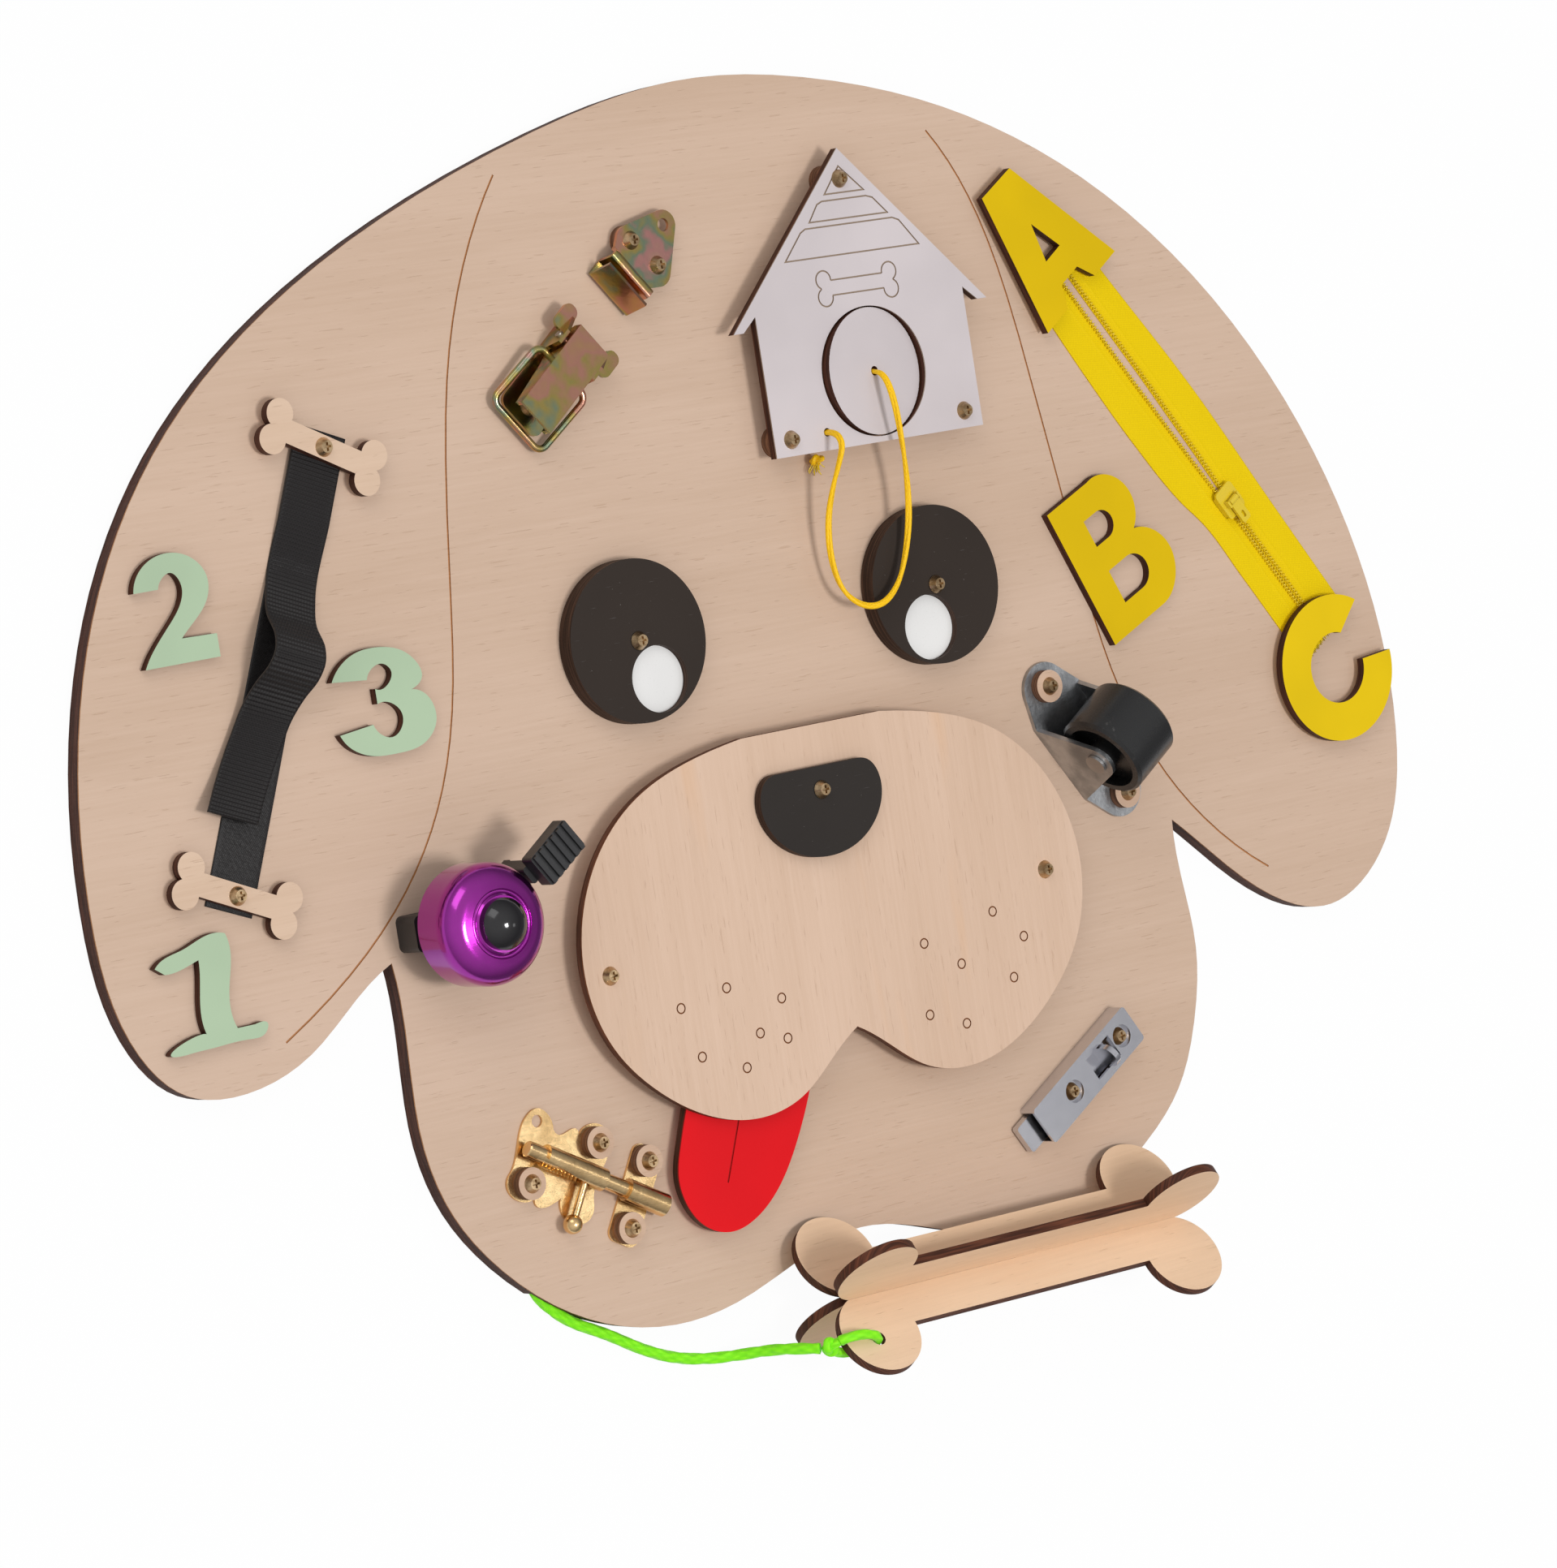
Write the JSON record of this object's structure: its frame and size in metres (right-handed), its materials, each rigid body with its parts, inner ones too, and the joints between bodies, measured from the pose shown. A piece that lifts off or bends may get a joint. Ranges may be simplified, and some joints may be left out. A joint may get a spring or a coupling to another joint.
{
  "type": "busy board",
  "caption": "Flat plywood busy board shaped like a dog's head, with turning eyes and nose, a house with a string door, bolts, latch, bell, caster, zip, letters and a toy bone on a cord.",
  "frame": {"origin": "on the flat back of the head, under the middle of the face", "axes": "+Z out of the face, +Y up the face towards the house, +X to the right ear"},
  "size_m": [0.5044, 0.4016, 0.0475],
  "materials": {
    "birch": "bare laser-cut birch plywood",
    "muzzle_birch": "bare birch plywood, paler",
    "toy_birch": "bare birch plywood, warmer",
    "red_paint": "red paint, satin",
    "lilac_paint": "pale lilac-white paint, satin",
    "yellow_paint": "golden yellow paint, satin",
    "mint_paint": "mint green paint, satin",
    "black_paint": "black paint, matt",
    "white_paint": "white paint, gloss",
    "strap_paint": "bare birch plywood",
    "black_webbing": "hook and loop strap, matt",
    "yellow_tape": "woven zip tape, matt",
    "yellow_coil": "moulded zip coil, satin",
    "slider_metal": "painted zip slider, satin",
    "purple_metal": "anodised bell, glossy metallic",
    "black_plastic": "moulded bell parts, satin",
    "steel": "plain steel, satin",
    "brass": "polished brass",
    "zinc": "bright zinc-plated steel",
    "chromate": "yellow chromate on steel, iridescent",
    "screw_zinc": "yellow zinc-plated screws",
    "black_rubber": "worn black rubber, matt",
    "green_cord": "braided cord, bright green",
    "yellow_cord": "satin cord, yellow"
  },
  "bodies": {
    "board_body": {"board": "birch", "muzzle": "muzzle_birch", "spacers": "birch", "tongue": "red_paint", "house": "lilac_paint", "house_knot": "yellow_cord", "letter_a": "yellow_paint", "letter_b": "yellow_paint", "letter_c": "yellow_paint", "letter_pads": "birch", "number_1": "mint_paint", "number_2": "mint_paint", "number_3": "mint_paint", "zip_tapes": "yellow_tape", "zip_coils": "yellow_coil", "strap_hook": "black_webbing", "strap_loop": "black_webbing", "strap_bone_top": "strap_paint", "strap_bone_bottom": "strap_paint", "bell_base": "black_plastic", "bell_post": "steel", "bell_dome": "purple_metal", "bell_knob": "black_plastic", "bell_spring": "steel", "bolt_plate": "brass", "bolt_keeper": "brass", "wood_washers": "birch", "slide_bolt_case": "zinc", "latch_base": "chromate", "latch_pin": "steel", "latch_keeper": "chromate", "caster_bracket": "zinc", "caster_axle": "steel", "toy_bone_a": "toy_birch", "toy_bone_b": "toy_birch", "toy_cord": "green_cord", "toy_cord_loop": "green_cord", "toy_cord_knot": "green_cord", "toy_cord_stop": "green_cord", "screws": "screw_zinc"},
    "eye_left": {"eye_left_base": "black_paint", "eye_left_face": "black_paint", "eye_left_pupil": "white_paint"},
    "eye_right": {"eye_right_base": "black_paint", "eye_right_face": "black_paint", "eye_right_pupil": "white_paint"},
    "nose": {"nose": "black_paint"},
    "door": {"door": "lilac_paint", "door_knot": "yellow_cord", "door_cord": "yellow_cord"},
    "bell_lever": {"bell_lever": "black_plastic"},
    "bolt_rod": {"bolt_rod": "brass"},
    "bolt_knob": {"bolt_knob": "brass"},
    "slide_bolt_tongue": {"slide_bolt_tongue": "zinc"},
    "latch_lever": {"latch_lever": "chromate"},
    "latch_bail": {"latch_bail": "chromate"},
    "caster_wheel": {"caster_wheel": "black_rubber"},
    "zip_slider": {"zip_slider": "slider_metal"},
    "zip_pull": {"zip_pull": "slider_metal"}
  },
  "joints": [
    {"name": "eye_left_turn", "type": "hinge", "parent": "board_body", "child": "eye_left", "pos_m": [-0.0527, 0.0202, 0.0063], "axis": [0, 0, 1], "continuous": true},
    {"name": "eye_right_turn", "type": "hinge", "parent": "board_body", "child": "eye_right", "pos_m": [0.0635, 0.0206, 0.0063], "axis": [0, 0, 1], "continuous": true},
    {"name": "nose_turn", "type": "hinge", "parent": "board_body", "child": "nose", "pos_m": [0.0023, -0.0348, 0.0153], "axis": [0, 0, 1], "continuous": true},
    {"name": "door_lift", "type": "slide", "parent": "board_body", "child": "door", "axis": [0, 0, 1], "range_m": [0, 0.008]},
    {"name": "bell_lever_turn", "type": "hinge", "parent": "board_body", "child": "bell_lever", "pos_m": [-0.134, -0.0524, 0.0163], "axis": [0, 0, 1], "range_deg": [0, 30], "stiffness_Nm_per_rad": 0.03},
    {"name": "bolt_slide", "type": "slide", "parent": "board_body", "child": "bolt_rod", "axis": [0.8625, -0.506, 0], "range_m": [-0.018, 0]},
    {"name": "bolt_turn", "type": "hinge", "parent": "bolt_rod", "child": "bolt_knob", "pos_m": [-0.0976, -0.1355, 0.0101], "axis": [0.8625, -0.506, 0], "range_deg": [-45.1, 0]},
    {"name": "slide_bolt_slide", "type": "slide", "parent": "board_body", "child": "slide_bolt_tongue", "axis": [-0.8554, -0.518, 0], "range_m": [0, 0.005]},
    {"name": "latch_lever_lift", "type": "hinge", "parent": "board_body", "child": "latch_lever", "pos_m": [-0.05917, 0.10822, 0.013], "axis": [-0.6198, 0.7848, 0], "range_deg": [0, 80]},
    {"name": "latch_bail_swing", "type": "hinge", "parent": "latch_lever", "child": "latch_bail", "pos_m": [-0.06466, 0.10388, 0.012], "axis": [-0.6198, 0.7848, 0], "range_deg": [0, 115]},
    {"name": "caster_wheel_roll", "type": "hinge", "parent": "board_body", "child": "caster_wheel", "pos_m": [0.117, -0.0373, 0.025], "axis": [0.8339, 0.5519, 0], "continuous": true},
    {"name": "zip_slide", "type": "slide", "parent": "board_body", "child": "zip_slider", "axis": [0.5582, -0.8297, 0], "range_m": [-0.075, 0.02]},
    {"name": "zip_pull_swing", "type": "hinge", "parent": "zip_slider", "child": "zip_pull", "pos_m": [0.19263, 0.02985, 0.0103], "axis": [-0.8297, -0.5582, 0], "range_deg": [0, 150]}
  ],
  "couplings": [
    {"joint": "bolt_turn", "follows": "bolt_slide", "rad_per_m": 43.6}
  ]
}
